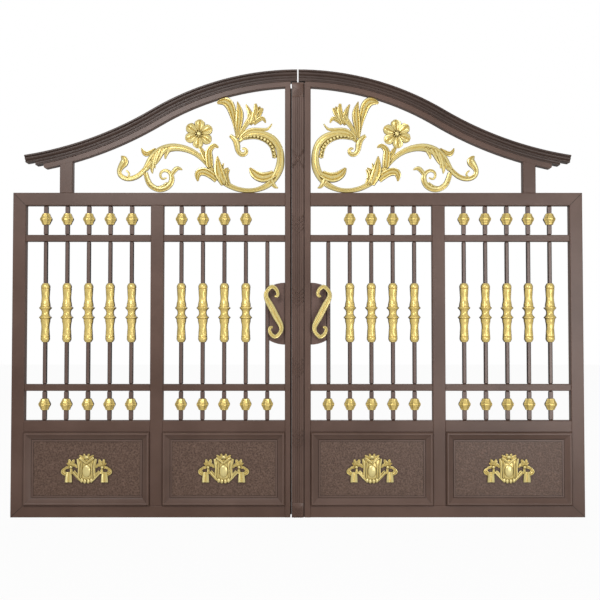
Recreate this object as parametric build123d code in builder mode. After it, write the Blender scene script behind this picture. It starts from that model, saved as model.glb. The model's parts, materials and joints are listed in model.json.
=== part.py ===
from build123d import *
import os
from math import asin, cos, degrees, radians, sin

# A double-leaf aluminium garden gate with an S-curved crown and gold castings.
# X runs to the right across the opening, Y away from the viewer and Z up. The origin is
# the middle of the pillar face of the lower left wall hinge plate.

# Opening and leaf frame
opening_width = 3600
pillar_gap = 15
meeting_gap = 8
frame_height = 2024
frame_depth = 60
stile_width = 80
top_rail_height = 80
bottom_rail_height = 74
panel_rail_height = 72
panel_rail_level = 527
lower_bar_rail_level = 783
upper_bar_rail_drop = 306
bar_rail_height = 42
bar_rail_depth = 44
middle_stile_centre = 882
lock_stile_reach = 81
parting_offset = 42
edge_chamfer = 3

# Crown
crown_rise = 781
crown_shoulder_radius = 1800
crown_shoulder_angle = 30.75
crown_tail_radius = 2250
crown_gap = 8
brow_height = 50
brow_depth = 92
fillet_band_height = 26
fillet_band_depth = 76
flat_band_height = 32
brow_tip = 1716
fillet_band_tip = 1660
flat_band_tip = 1596
brow_chamfer = 18
tip_rounding = 12
upright_outer = 1494

# Bars, knobs and sleeves
bar_size = 26
bars_per_bay = 5
bar_pitch = 135
knob_size = 80
knob_height = 72
knob_band = 12
knob_neck = 44
knob_lift = 8
sleeve_length = 370
sleeve_neck = 48
sleeve_ring = 80
sleeve_ring_level = 30
sleeve_shoulder = 60
sleeve_shoulder_level = 42
sleeve_waist = 46
sleeve_waist_level = 120
sleeve_foot = 58
sleeve_foot_level = 164
sleeve_mouth = 40
turned_sides = 8

# Panels
panel_thickness = 24
field_rise = 8
moulding_width = 58
moulding_rise = 20
moulding_crest = 14
moulding_bead = 10
moulding_heel = 4
moulding_sweep = 29

# Centre strip
strip_width = 74
strip_thickness = 20
strip_recess = 12
strip_groove = 6
strip_field_width = 46
strip_field_rise = 5
flute_count = 3
flute_width = 5

# Lock plate and handle
lock_plate_radius = 194
lock_plate_drop = 6
lock_plate_thickness = 30
handle_thickness = 16
handle_standoff = 46
handle_post_radius = 9
handle_rise = 11

# Gold castings
scroll_thickness = 18
flower_reach = 56
petal_radius = 34
petal_count = 6
petal_sides = 10
ribbon_steps = 2
crest_thickness = 10
boss_width = 68
boss_height = 104
boss_sides = 16

# Hinges
lower_hinge_level = 250
upper_hinge_drop = 266
hinge_clearance = 5
knuckle_radius = 14
knuckle_height = 60
knuckle_seat = 0.3
pin_radius = 8
pin_play = 0.05
wall_plate_width = 80
wall_plate_height = 200
wall_plate_thickness = 8
bolt_hole_radius = 5.5
bolt_spacing_y = 50
bolt_spacing_z = 164
strap_length = 64
strap_thickness = 6

# Worked-out places: x from the middle of the opening, z above the foot of the leaves
leaf_edge = opening_width / 2 - pillar_gap
stile_inner = leaf_edge - stile_width
middle_outer = middle_stile_centre + stile_width / 2
middle_inner = middle_stile_centre - stile_width / 2
parting_left = parting_offset + meeting_gap / 2
parting_right = parting_offset - meeting_gap / 2
bays = ((-stile_inner, -middle_outer), (-middle_inner, -lock_stile_reach))
hinge_axis_x = wall_plate_thickness + hinge_clearance + knuckle_radius
hinge_axis_y = knuckle_radius - wall_plate_width / 2
leaf_back_y = hinge_axis_y - knuckle_radius - hinge_clearance
leaf_middle_y = leaf_back_y - frame_depth / 2
leaf_foot_z = -lower_hinge_level
hinge_levels = (lower_hinge_level, frame_height - upper_hinge_drop)
upper_bar_rail_level = frame_height - upper_bar_rail_drop
crown_top = frame_height + crown_rise
brow_bottom = brow_height
fillet_bottom = brow_height + fillet_band_height
crown_height = fillet_bottom + flat_band_height

leaf_plane = Plane(
    origin=(opening_width / 2, leaf_middle_y, leaf_foot_z), x_dir=(1, 0, 0), z_dir=(0, -1, 0)
)
front_plane = leaf_plane.offset(frame_depth / 2)
arch_plane = leaf_plane.shift_origin(leaf_plane.from_local_coords((0, frame_height, 0)))
mirror_plane = Plane.YZ.offset(opening_width / 2)

os.makedirs("parts", exist_ok=True)


def save(piece, name):
    """Labels a finished piece and writes its file."""
    piece.label = name
    export_step(piece, f"parts/{name}.step")


def save_pair(piece, name):
    """Writes a piece of the left leaf and its mirror image on the right leaf."""
    save(piece, f"left_{name}")
    with BuildPart() as mirrored:
        mirror(piece, about=mirror_plane)
    save(mirrored.part, f"right_{name}")


# Leaf frame: chamfered tubes, mitred where the outer stile meets the top and bottom rails

with BuildPart() as outer_stile:
    with BuildSketch(leaf_plane):
        with BuildLine():
            Polyline(
                (-leaf_edge, 0),
                (-stile_inner, bottom_rail_height),
                (-stile_inner, frame_height - top_rail_height),
                (-leaf_edge, frame_height),
                close=True,
            )
        make_face()
    extrude(amount=frame_depth / 2, both=True)
    chamfer(outer_stile.edges().filter_by(Axis.Z), length=edge_chamfer)
save_pair(outer_stile.part, "outer_stile")

with BuildPart() as top_rail:
    with BuildSketch(leaf_plane):
        with BuildLine():
            Polyline(
                (-leaf_edge, frame_height),
                (-stile_inner, frame_height - top_rail_height),
                (-lock_stile_reach, frame_height - top_rail_height),
                (-lock_stile_reach, frame_height),
                close=True,
            )
        make_face()
    extrude(amount=frame_depth / 2, both=True)
    chamfer(top_rail.edges().filter_by(Axis.X), length=edge_chamfer)
save_pair(top_rail.part, "top_rail")

with BuildPart() as bottom_rail:
    with BuildSketch(leaf_plane):
        with BuildLine():
            Polyline(
                (-leaf_edge, 0),
                (-stile_inner, bottom_rail_height),
                (-lock_stile_reach, bottom_rail_height),
                (-lock_stile_reach, 0),
                close=True,
            )
        make_face()
    extrude(amount=frame_depth / 2, both=True)
    chamfer(bottom_rail.edges().filter_by(Axis.X), length=edge_chamfer)
save_pair(bottom_rail.part, "bottom_rail")

with BuildPart() as middle_stile:
    with BuildSketch(leaf_plane):
        with Locations((-middle_stile_centre, bottom_rail_height)):
            Rectangle(
                stile_width,
                frame_height - top_rail_height - bottom_rail_height,
                align=(Align.CENTER, Align.MIN),
            )
    extrude(amount=frame_depth / 2, both=True)
    chamfer(middle_stile.edges().filter_by(Axis.Z), length=edge_chamfer)
save_pair(middle_stile.part, "middle_stile")


def bay_rails(level, height, depth):
    """One cross rail in each bay of the left leaf, between the stiles."""
    with BuildPart() as rails:
        with BuildSketch(leaf_plane):
            for left, right in bays:
                with Locations(((left + right) / 2, level)):
                    Rectangle(right - left, height, align=(Align.CENTER, Align.MIN))
        extrude(amount=depth / 2, both=True)
        chamfer(rails.edges().filter_by(Axis.X), length=edge_chamfer)
    return rails.part


save_pair(bay_rails(panel_rail_level, panel_rail_height, frame_depth), "panel_rails")
save_pair(bay_rails(lower_bar_rail_level, bar_rail_height, bar_rail_depth), "lower_bar_rails")
save_pair(bay_rails(upper_bar_rail_level, bar_rail_height, bar_rail_depth), "upper_bar_rails")


# Crown: a curved rail of the leaf's own depth under a crown moulding of two stepped bands,
# all following one S-curve of two tangent arcs


def crown_band(top, bottom, tip, end):
    """The face of one band, from its tail tip to its end near the middle of the gate.

    top and bottom are depths below the crown's upper edge, square to the curve.
    """
    shoulder_x, shoulder_z = 0, crown_top - crown_shoulder_radius
    reach = crown_shoulder_radius + crown_tail_radius
    tail_x = shoulder_x - reach * sin(radians(crown_shoulder_angle))
    tail_z = shoulder_z + reach * cos(radians(crown_shoulder_angle))
    with BuildSketch() as band:
        with BuildLine():
            ends = []
            for depth in (top, bottom):
                shoulder_radius = crown_shoulder_radius - depth
                tail_radius = crown_tail_radius + depth
                start = degrees(asin(end / shoulder_radius))
                slope = degrees(asin((-tip - tail_x) / tail_radius))
                shoulder = CenterArc(
                    (shoulder_x, shoulder_z), shoulder_radius, 90 + start, crown_shoulder_angle - start
                )
                tail = CenterArc(
                    (tail_x, tail_z),
                    tail_radius,
                    270 + crown_shoulder_angle,
                    slope - crown_shoulder_angle,
                )
                ends.append((shoulder @ 0, tail @ 1))
            Line(ends[0][0], ends[1][0])
            Line(ends[0][1], ends[1][1])
        make_face()
        tail_corner = band.vertices().sort_by(Axis.X)[:2].sort_by(Axis.Y)[0]
        fillet(tail_corner, radius=tip_rounding)
    return band.sketch


with BuildPart() as crown:
    with BuildSketch(leaf_plane):
        add(crown_band(0, brow_bottom, brow_tip, crown_gap / 2))
    extrude(amount=brow_depth / 2, both=True)
    brow_arcs = crown.edges().filter_by(GeomType.CIRCLE).sort_by(SortBy.LENGTH)[-8:]
    upper_arcs = [arc for arc in brow_arcs if abs(arc.radius - crown_shoulder_radius) < 1]
    upper_arcs += [arc for arc in brow_arcs if abs(arc.radius - crown_tail_radius) < 1]
    chamfer(upper_arcs, length=brow_chamfer)
    with BuildSketch(leaf_plane):
        add(crown_band(brow_bottom, fillet_bottom, fillet_band_tip, crown_gap / 2))
    extrude(amount=fillet_band_depth / 2, both=True)
save_pair(crown.part, "arch_crown")

with BuildPart() as arch_rail:
    with BuildSketch(leaf_plane):
        add(crown_band(fillet_bottom, crown_height, flat_band_tip, parting_left))
    extrude(amount=frame_depth / 2, both=True)
save_pair(arch_rail.part, "arch_rail")

with BuildPart() as arch_upright:
    with BuildSketch(leaf_plane):
        with Locations((-upright_outer, frame_height)):
            Rectangle(
                stile_width,
                crown_rise / 2,
                align=(Align.MIN, Align.MIN),
            )
    extrude(amount=frame_depth / 2, both=True)
    chamfer(arch_upright.edges().filter_by(Axis.Z), length=edge_chamfer)
    add(arch_rail.part, mode=Mode.SUBTRACT)
save_pair(arch_upright.part.solids().sort_by(Axis.Z)[0], "arch_upright")


# Lock stiles: the right one is rebated for the centre strip

stile_top = crown_top - fillet_bottom - crown_gap

with BuildPart() as left_lock_stile:
    with BuildSketch(leaf_plane):
        with Locations((-lock_stile_reach, 0)):
            Rectangle(
                lock_stile_reach - parting_left, crown_top - fillet_bottom, align=(Align.MIN, Align.MIN)
            )
    extrude(amount=frame_depth / 2, both=True)
    chamfer(left_lock_stile.edges().filter_by(Axis.Z), length=edge_chamfer)
    add(arch_rail.part, mode=Mode.SUBTRACT)
save(left_lock_stile.part.solids().sort_by(SortBy.VOLUME)[-1], "left_lock_stile")

with BuildPart() as right_arch_rail:
    mirror(arch_rail.part, about=mirror_plane)

with BuildPart() as right_lock_stile:
    with BuildSketch(leaf_plane):
        with Locations((-parting_right, 0)):
            Rectangle(lock_stile_reach + parting_right, stile_top, align=(Align.MIN, Align.MIN))
    extrude(amount=frame_depth / 2, both=True)
    chamfer(right_lock_stile.edges().filter_by(Axis.Z), length=edge_chamfer)
    with BuildSketch(front_plane):
        with Locations((-parting_right, 0)):
            Rectangle(strip_width + strip_groove, stile_top, align=(Align.MIN, Align.MIN))
    extrude(amount=-strip_recess, mode=Mode.SUBTRACT)
    add(right_arch_rail.part, mode=Mode.SUBTRACT)
save(right_lock_stile.part.solids().sort_by(SortBy.VOLUME)[-1], "right_lock_stile")

with BuildPart() as centre_strip:
    with BuildSketch(front_plane.offset(-strip_recess)):
        with Locations((-parting_right, 0)):
            Rectangle(strip_width, stile_top, align=(Align.MIN, Align.MIN))
    extrude(amount=strip_thickness - strip_field_rise)
    with BuildSketch(front_plane.offset(strip_thickness - strip_recess - strip_field_rise)):
        with Locations((strip_width / 2 - parting_right, 0)):
            Rectangle(strip_field_width, stile_top, align=(Align.CENTER, Align.MIN))
        with Locations((strip_width / 2 - parting_right, stile_top / 2)):
            with GridLocations(strip_field_width / (flute_count + 1), 1, flute_count, 1):
                Rectangle(flute_width, stile_top, mode=Mode.SUBTRACT)
    extrude(amount=strip_field_rise)
save(centre_strip.part, "centre_strip")


# Bars, knobs and sleeves

bar_columns = []
for left, right in bays:
    for place in range(bars_per_bay):
        bar_columns.append((left + right) / 2 + (place - (bars_per_bay - 1) / 2) * bar_pitch)
short_bar = bar_columns[-1]

top_space = (upper_bar_rail_level + bar_rail_height, frame_height - top_rail_height)
middle_space = (lower_bar_rail_level + bar_rail_height, upper_bar_rail_level)
foot_space = (panel_rail_level + panel_rail_height, lower_bar_rail_level)

with BuildPart() as bars:
    for low, high in (top_space, middle_space, foot_space):
        with BuildSketch(leaf_plane):
            for column in bar_columns:
                if column != short_bar or low != top_space[0]:
                    with Locations((column, low)):
                        Rectangle(bar_size, high - low, align=(Align.CENTER, Align.MIN))
        extrude(amount=bar_size / 2, both=True)
save_pair(bars.part, "bars")


def ringed_solid(rings):
    """A faceted turned shape on the Z axis with a square hole for a bar.

    rings gives (height, width across flats) from foot to top. Each pair of opposite flats is
    one long prism of that outline, and the shape is what all of them share.
    """
    outline = [(width / 2, height) for height, width in rings]
    outline += [(-width / 2, height) for height, width in reversed(rings)]
    with BuildPart() as turned:
        for place in range(turned_sides // 2):
            with BuildSketch(Plane.XZ.rotated((0, 0, place * 360 / turned_sides))):
                with BuildLine():
                    Polyline(*outline, close=True)
                make_face()
            extrude(amount=knob_size, both=True, mode=Mode.INTERSECT if place else Mode.ADD)
        with BuildSketch(Plane.XY.offset(rings[0][0])):
            Rectangle(bar_size, bar_size)
        extrude(amount=rings[-1][0] - rings[0][0], mode=Mode.SUBTRACT)
    return turned.part


knob = ringed_solid(
    [
        (-knob_height / 2, knob_neck),
        (-knob_band / 2, knob_size),
        (knob_band / 2, knob_size),
        (knob_height / 2, knob_neck),
    ]
)

with BuildPart() as knobs:
    for low, high in (top_space, foot_space):
        for column in bar_columns:
            if column != short_bar or low != top_space[0]:
                with Locations(
                    leaf_plane.from_local_coords((column, (low + high) / 2 + knob_lift, 0))
                ):
                    add(knob)
save_pair(knobs.part, "knobs")

upper_rings = [
    (sleeve_ring_level, sleeve_ring),
    (sleeve_shoulder_level, sleeve_shoulder),
    (sleeve_waist_level, sleeve_waist),
    (sleeve_foot_level, sleeve_foot),
    (sleeve_length / 2, sleeve_mouth),
]
lower_rings = [(-height, width) for height, width in reversed(upper_rings)]
sleeve = ringed_solid(lower_rings + [(0, sleeve_neck)] + upper_rings)

with BuildPart() as bar_sleeves:
    for column in bar_columns:
        if column != short_bar:
            with Locations(leaf_plane.from_local_coords((column, sum(middle_space) / 2, 0))):
                add(sleeve)
save_pair(bar_sleeves.part, "bar_sleeves")


# Panels: a board with a raised field, framed by a bolection moulding

panel_height = panel_rail_level - bottom_rail_height
field_plane = leaf_plane.offset(panel_thickness / 2)

with BuildPart() as panels:
    with BuildSketch(leaf_plane):
        for left, right in bays:
            with Locations(((left + right) / 2, bottom_rail_height + panel_height / 2)):
                Rectangle(right - left, panel_height)
    extrude(amount=panel_thickness / 2, both=True)
    with BuildSketch(field_plane):
        for left, right in bays:
            with Locations(((left + right) / 2, bottom_rail_height + panel_height / 2)):
                Rectangle(right - left - 2 * moulding_width, panel_height - 2 * moulding_width)
    extrude(amount=field_rise)
save_pair(panels.part, "panels")

moulding_base = panel_thickness / 2
moulding_top = frame_depth / 2 + moulding_rise

with BuildPart() as panel_mouldings:
    for left, right in bays:
        with BuildLine(leaf_plane) as opening_edge:
            Polyline(
                (left, panel_rail_level),
                (right, panel_rail_level),
                (right, bottom_rail_height),
                (left, bottom_rail_height),
                close=True,
            )
        corner = opening_edge.vertices().group_by(Axis.X)[0].sort_by(Axis.Z)[-1]
        profile_plane = Plane(
            origin=(corner.X + (right - left) / 2, corner.Y, corner.Z), x_dir=(0, 0, -1), z_dir=(1, 0, 0)
        )
        with BuildSketch(profile_plane):
            with BuildLine():
                Polyline(
                    (moulding_width, -moulding_base),
                    (0, -moulding_base),
                    (0, -frame_depth / 2 - moulding_rise / 2),
                    (moulding_crest / 2, -moulding_top),
                    (moulding_crest, -moulding_top),
                )
                ThreePointArc(
                    (moulding_crest, -moulding_top),
                    (moulding_sweep, -(moulding_top + moulding_base + field_rise) / 2),
                    (moulding_width - moulding_bead, -moulding_base - field_rise),
                )
                Polyline(
                    (moulding_width - moulding_bead, -moulding_base - field_rise),
                    (moulding_width - moulding_bead, -moulding_base - field_rise - moulding_heel),
                    (moulding_width, -moulding_base - field_rise - moulding_heel),
                    (moulding_width, -moulding_base),
                )
            make_face()
        sweep(path=opening_edge.wires()[0], transition=Transition.RIGHT)
save_pair(panel_mouldings.part, "panel_mouldings")


# Crests: a cartouche between two ribbon bows, with a garland below


def crest_outline():
    """The outline of one crest about its middle."""
    with BuildSketch() as outline:
        with BuildLine():
            right_side = Polyline(
                (0, 93), (22, 88), (34, 84), (58, 62), (56, 40), (47, 20), (47, -18), (56, -34),
                (92, -22), (70, 8), (62, 30), (74, 48), (84, 44), (80, 56), (106, 56), (112, 48),
                (108, 34), (124, 38), (132, 12), (160, -22), (136, -48), (132, -92), (84, -92),
                (82, -62), (60, -66), (32, -92), (0, -94),
            )
            mirror(right_side, about=Plane.YZ)
        make_face()
    return outline.sketch


crest_face = crest_outline()
crest_boss = scale(
    RegularPolygon(boss_width / 2, boss_sides, mode=Mode.PRIVATE), by=(1, boss_height / boss_width, 1)
)
crest_plane = leaf_plane.offset(panel_thickness / 2 + field_rise)

with BuildPart() as crests:
    with BuildSketch(crest_plane):
        for left, right in bays:
            with Locations(((left + right) / 2, bottom_rail_height + panel_height / 2)):
                add(crest_face)
    extrude(amount=crest_thickness)
    with BuildSketch(crest_plane.offset(crest_thickness)):
        for left, right in bays:
            with Locations(((left + right) / 2, bottom_rail_height + panel_height / 2)):
                add(crest_boss)
    extrude(amount=crest_thickness / 2)
save_pair(crests.part, "crests")


# Gold scrollwork in the arch


def ribbon(stations):
    """A tapering ribbon; stations gives (x, z, width) along its middle line."""
    middles = [Vector(x, z) for x, z, width in stations]
    left_side = []
    right_side = []
    for place, (x, z, width) in enumerate(stations):
        before = middles[max(place - 1, 0)]
        after = middles[min(place + 1, len(middles) - 1)]
        across = (after - before).normalized().rotate(Axis.Z, 90) * (width / 2)
        left_side.append(middles[place] + across)
        right_side.append(middles[place] - across)
    steps = ribbon_steps * (len(stations) - 1)
    with BuildSketch() as band:
        with BuildLine():
            left_curve = Spline(*left_side, mode=Mode.PRIVATE)
            right_curve = Spline(*right_side, mode=Mode.PRIVATE)
            there = [left_curve @ (step / steps) for step in range(steps + 1)]
            back = [right_curve @ (1 - step / steps) for step in range(steps + 1)]
            Polyline(*there, *back, close=True)
        make_face()
    return band.sketch


# Places in the arch are measured from the top of the leaf frame
ribbons = {
    "big_scroll": [
        (-529, 123, 36), (-489, 87, 32), (-439, 51, 32), (-381, 25, 29), (-316, 15, 26),
        (-251, 22, 27), (-186, 52, 36), (-143, 101, 45), (-114, 159, 48), (-107, 217, 43),
        (-112, 275, 39), (-136, 325, 43), (-179, 361, 43), (-237, 379, 36), (-294, 379, 35),
        (-341, 360, 29), (-372, 329, 19),
    ],
    "centre_hook": [
        (-428, 366, 19), (-399, 347, 32), (-383, 311, 38), (-381, 275, 30), (-363, 247, 27),
        (-338, 244, 26), (-321, 264, 22), (-332, 288, 16), (-351, 282, 12),
    ],
    "lily_stalk": [(-375, 347, 22), (-352, 397, 25), (-320, 448, 29), (-287, 484, 43)],
    "tendril": [
        (-367, 350, 16), (-334, 389, 19), (-287, 408, 19), (-222, 403, 19), (-183, 405, 17),
        (-163, 441, 6),
    ],
    "left_stem": [
        (-511, 109, 32), (-547, 159, 32), (-583, 202, 29), (-630, 244, 30), (-684, 275, 35),
        (-749, 292, 40), (-807, 291, 48), (-865, 271, 51), (-912, 231, 48), (-941, 184, 43),
        (-963, 148, 32),
    ],
    "left_hook": [
        (-952, 166, 29), (-991, 119, 30), (-1038, 94, 30), (-1082, 90, 27), (-1118, 109, 27),
        (-1129, 141, 26), (-1112, 172, 33), (-1090, 195, 40), (-1095, 220, 27), (-1115, 230, 7),
    ],
    "left_volute": [(-1080, 96, 12), (-1063, 109, 12), (-1063, 132, 12), (-1082, 144, 10)],
    "outer_leaf": [(-986, 286, 6), (-977, 257, 25), (-944, 244, 36), (-898, 285, 9)],
    "small_scroll": [
        (-960, 130, 27), (-948, 80, 32), (-923, 44, 33), (-879, 22, 32), (-836, 28, 32),
        (-804, 54, 33), (-791, 94, 32), (-804, 132, 23), (-836, 148, 19), (-865, 134, 16),
        (-868, 105, 14), (-849, 85, 13), (-827, 100, 9),
    ],
    "small_tail": [(-801, 109, 22), (-778, 148, 29), (-751, 163, 25), (-728, 148, 6)],
    "junction_leaf": [
        (-508, 87, 43), (-553, 124, 45), (-605, 143, 48), (-638, 119, 40), (-630, 76, 9),
    ],
    "curl_leaf": [
        (-553, 166, 40), (-560, 224, 48), (-563, 264, 38), (-544, 295, 32), (-515, 304, 25),
        (-502, 288, 9),
    ],
    "flower_leaf": [(-557, 195, 36), (-587, 235, 39), (-618, 294, 17)],
    "sheath_up": [(-461, 58, 43), (-489, 109, 61), (-504, 166, 53), (-507, 235, 7)],
    "sheath_side": [(-461, 65, 29), (-471, 116, 36), (-457, 145, 33), (-437, 161, 6)],
    "inner_leaf": [
        (-150, 123, 43), (-201, 96, 61), (-251, 105, 56), (-287, 134, 43), (-302, 161, 12),
    ],
    "corner_tendril": [(-172, 87, 32), (-154, 52, 26), (-136, 35, 16), (-124, 35, 6)],
    "stem_lobe": [(-843, 282, 36), (-865, 239, 36), (-894, 195, 26)],
    "long_lobe": [(-894, 253, 43), (-916, 188, 40), (-921, 127, 14)],
    "inner_lobe": [(-807, 282, 32), (-823, 253, 26), (-833, 224, 14)],
}
leaf_outlines = {
    "tall_leaf": [
        (-510, 572), (-489, 606), (-453, 629), (-417, 584), (-399, 549), (-392, 477),
        (-380, 419), (-372, 350), (-394, 354), (-400, 412), (-411, 470), (-433, 517),
        (-468, 550),
    ],
    "middle_leaf": [
        (-381, 579), (-352, 535), (-341, 491), (-352, 448), (-367, 397), (-375, 350),
        (-388, 397), (-397, 477), (-396, 542),
    ],
    "lily": [
        (-327, 565), (-287, 569), (-244, 563), (-219, 542), (-221, 509), (-196, 462),
        (-209, 444), (-229, 459), (-262, 448), (-291, 428), (-316, 464), (-309, 509),
        (-319, 542),
    ],
}
flower_centre = (-625, 377)

with BuildPart() as scrollwork:
    with BuildSketch(arch_plane):
        for stations in ribbons.values():
            add(ribbon(stations))
        for points in leaf_outlines.values():
            with BuildLine():
                Polyline(*points, close=True)
            make_face()
        with Locations(flower_centre):
            RegularPolygon(flower_reach, petal_sides)
            with PolarLocations(flower_reach, petal_count, start_angle=35):
                RegularPolygon(petal_radius, petal_sides)
    extrude(amount=scroll_thickness / 2, both=True)
    add(arch_rail.part, mode=Mode.SUBTRACT)
    add(top_rail.part, mode=Mode.SUBTRACT)
    add(left_lock_stile.part, mode=Mode.SUBTRACT)
save_pair(scrollwork.part, "scrollwork")


# Lock plates and handles

plate_edge = short_bar + bar_size / 2
lock_plate_level = sum(middle_space) / 2 - lock_plate_drop

with BuildPart() as lock_plate:
    with BuildSketch(leaf_plane):
        with Locations((-lock_stile_reach, lock_plate_level)):
            Circle(lock_plate_radius)
        with Locations((plate_edge, lock_plate_level)):
            Rectangle(
                -lock_stile_reach - plate_edge,
                2 * lock_plate_radius,
                align=(Align.MIN, Align.CENTER),
                mode=Mode.INTERSECT,
            )
    extrude(amount=lock_plate_thickness / 2, both=True)
save_pair(lock_plate.part, "lock_plate")

handle_middle = (-150, lock_plate_level + handle_rise)
half_handle = [
    (0, 0, 26), (16, -32, 30), (34, -62, 32), (47, -90, 30), (48, -114, 27), (36, -138, 25),
    (10, -158, 22), (-18, -140, 24), (-29, -112, 21), (-23, -92, 16), (-8, -90, 11),
]
handle_posts = ((40, -76), (-18, 36))
handle_reach = frame_depth / 2 + handle_standoff - lock_plate_thickness / 2
handle_plane = front_plane.offset(handle_standoff)

with BuildPart() as handle:
    with BuildSketch(handle_plane):
        with Locations(handle_middle):
            add(ribbon(half_handle))
            add(ribbon([(-x, -z, width) for x, z, width in half_handle]))
    extrude(amount=-handle_thickness)
    with BuildSketch(leaf_plane.offset(lock_plate_thickness / 2)):
        for x, z in handle_posts:
            with Locations((handle_middle[0] + x, handle_middle[1] + z)):
                RegularPolygon(handle_post_radius, turned_sides)
    extrude(amount=handle_reach - handle_thickness)
save_pair(handle.part, "handle")


# Hinges: wall plates with a lower knuckle and pin, straps with an upper knuckle

with BuildPart() as wall_hinges:
    for level in hinge_levels:
        base = leaf_foot_z + level
        with BuildSketch(Plane.YZ):
            with Locations((0, base)):
                Rectangle(wall_plate_width, wall_plate_height)
                with GridLocations(bolt_spacing_y, bolt_spacing_z, 2, 2):
                    Circle(bolt_hole_radius, mode=Mode.SUBTRACT)
        extrude(amount=wall_plate_thickness)
        with BuildSketch(Plane.XY.offset(base)):
            with Locations((hinge_axis_x, hinge_axis_y)):
                Circle(knuckle_radius)
                Rectangle(
                    hinge_axis_x - wall_plate_thickness, knuckle_radius, align=(Align.MAX, Align.CENTER)
                )
        extrude(amount=-knuckle_height)
        with BuildSketch(Plane.XY.offset(base)):
            with Locations((hinge_axis_x, hinge_axis_y)):
                Circle(pin_radius)
        extrude(amount=knuckle_height)
save_pair(wall_hinges.part, "wall_hinges")

with BuildPart() as hinge_straps:
    for level in hinge_levels:
        seat = Plane.XY.offset(leaf_foot_z + level + knuckle_seat)
        with BuildSketch(seat):
            with Locations((hinge_axis_x, hinge_axis_y)):
                Circle(knuckle_radius)
            with Locations((hinge_axis_x, leaf_back_y)):
                Rectangle(
                    knuckle_radius, hinge_axis_y - leaf_back_y, align=(Align.CENTER, Align.MIN)
                )
                Rectangle(strap_length, strap_thickness, align=(Align.MIN, Align.MIN))
            with Locations((hinge_axis_x, hinge_axis_y)):
                Circle(pin_radius + pin_play, mode=Mode.SUBTRACT)
        extrude(amount=knuckle_height)
save_pair(hinge_straps.part, "hinge_straps")
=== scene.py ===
import json
from math import asin, atan2, cos, hypot, pi, radians, sin

import bmesh
import bpy
from mathutils import Matrix, Vector


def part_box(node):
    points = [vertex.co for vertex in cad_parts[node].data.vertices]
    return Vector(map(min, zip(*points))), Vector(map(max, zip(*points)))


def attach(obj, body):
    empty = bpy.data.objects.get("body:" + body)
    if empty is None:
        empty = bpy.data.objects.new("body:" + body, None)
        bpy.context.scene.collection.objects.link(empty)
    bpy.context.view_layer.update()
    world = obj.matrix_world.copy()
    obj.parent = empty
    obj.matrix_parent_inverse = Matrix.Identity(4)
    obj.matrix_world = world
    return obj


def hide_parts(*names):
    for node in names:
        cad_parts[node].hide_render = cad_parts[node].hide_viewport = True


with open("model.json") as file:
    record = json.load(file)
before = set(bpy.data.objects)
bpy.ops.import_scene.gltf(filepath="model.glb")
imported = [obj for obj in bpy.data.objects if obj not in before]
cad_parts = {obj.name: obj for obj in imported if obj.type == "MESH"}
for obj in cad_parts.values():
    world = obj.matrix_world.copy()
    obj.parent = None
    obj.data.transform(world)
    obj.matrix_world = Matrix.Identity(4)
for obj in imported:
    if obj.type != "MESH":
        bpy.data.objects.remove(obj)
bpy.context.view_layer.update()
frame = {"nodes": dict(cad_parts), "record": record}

# Leaf frame: extruded aluminium tubes of 80 x 60 mm with crisp mitred corners, welded and
# then sprayed with a brown satin powder coat. The cross rails between the bars are thinner.

nodes = frame["nodes"]
SIDES = ("left", "right")
LEFT_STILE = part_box("left_outer_stile")
RIGHT_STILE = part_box("right_outer_stile")
GATE_MIDDLE = (LEFT_STILE[0].x + RIGHT_STILE[1].x) / 2
LEAF_PLANE = (LEFT_STILE[0].y + LEFT_STILE[1].y) / 2
LEAF_FOOT = LEFT_STILE[0].z
FRAME_HALF_DEPTH = 30
MM = 0.001
SHARP_ANGLE = 38


def srgb(text):
    """The linear colour of an sRGB hex value."""
    channels = [int(text[place:place + 2], 16) / 255 for place in (1, 3, 5)]
    linear = [c / 12.92 if c <= 0.04045 else ((c + 0.055) / 1.055) ** 2.4 for c in channels]
    return (*linear, 1)


def add_node(tree, kind, settings=None, inputs=None, stops=()):
    """Adds a shader node; an input is a value or an output socket, and stops fill a ramp."""
    node = tree.nodes.new("ShaderNode" + kind)
    for name, value in (settings or {}).items():
        setattr(node, name, value)
    for socket, value in (inputs or {}).items():
        if isinstance(value, bpy.types.NodeSocket):
            tree.links.new(value, node.inputs[socket])
        else:
            node.inputs[socket].default_value = value
    if stops:
        elements = node.color_ramp.elements
        while len(elements) < len(stops):
            elements.new(0.5)
        for element, (position, colour) in zip(elements, stops):
            element.position = position
            element.color = srgb(colour)
    return node


def new_material(name):
    """An empty node material with its output and its object coordinates."""
    material = bpy.data.materials.new(name)
    material.use_nodes = True
    tree = material.node_tree
    tree.nodes.clear()
    output = add_node(tree, "OutputMaterial")
    place = add_node(tree, "TexCoord").outputs["Object"]
    return material, tree, output, place


def per_metre(size_mm):
    """The texture scale that gives a pattern of this size in millimetres."""
    return 1 / (size_mm * MM)


# Satin powder coat on aluminium: a soft broad sheen, faint clouding in the colour and the
# fine orange peel that a baked powder leaves. Its peel of 3 mm is drawn coarser than real.
PEEL_MM = 3
PEEL_STRENGTH = 0.05
PEEL_DEPTH = 0.0005
CLOUD_MM = 420
POWDER_HOLLOW_MM = 12
CLOSED_SHARE = 0.3
OPEN_SHARE = 0.95
SIDE_START = 0.99
SIDE_FULL = 0.8


def paint_hollow_shade(tree, colour, dark, reach_mm):
    """Paints shade: a darker colour where the surface is closed in, within this reach."""
    closed = add_node(tree, "AmbientOcclusion", {"samples": 6}, {"Distance": reach_mm * MM})
    open_share = add_node(tree, "MapRange", {"interpolation_type": "SMOOTHSTEP"}, {
        "Value": closed.outputs["AO"], "From Min": CLOSED_SHARE, "From Max": OPEN_SHARE})
    mixed = add_node(tree, "Mix", {"data_type": "RGBA"}, {
        0: open_share.outputs["Result"], 6: srgb(dark), 7: colour})
    return mixed.outputs[2]


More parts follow.
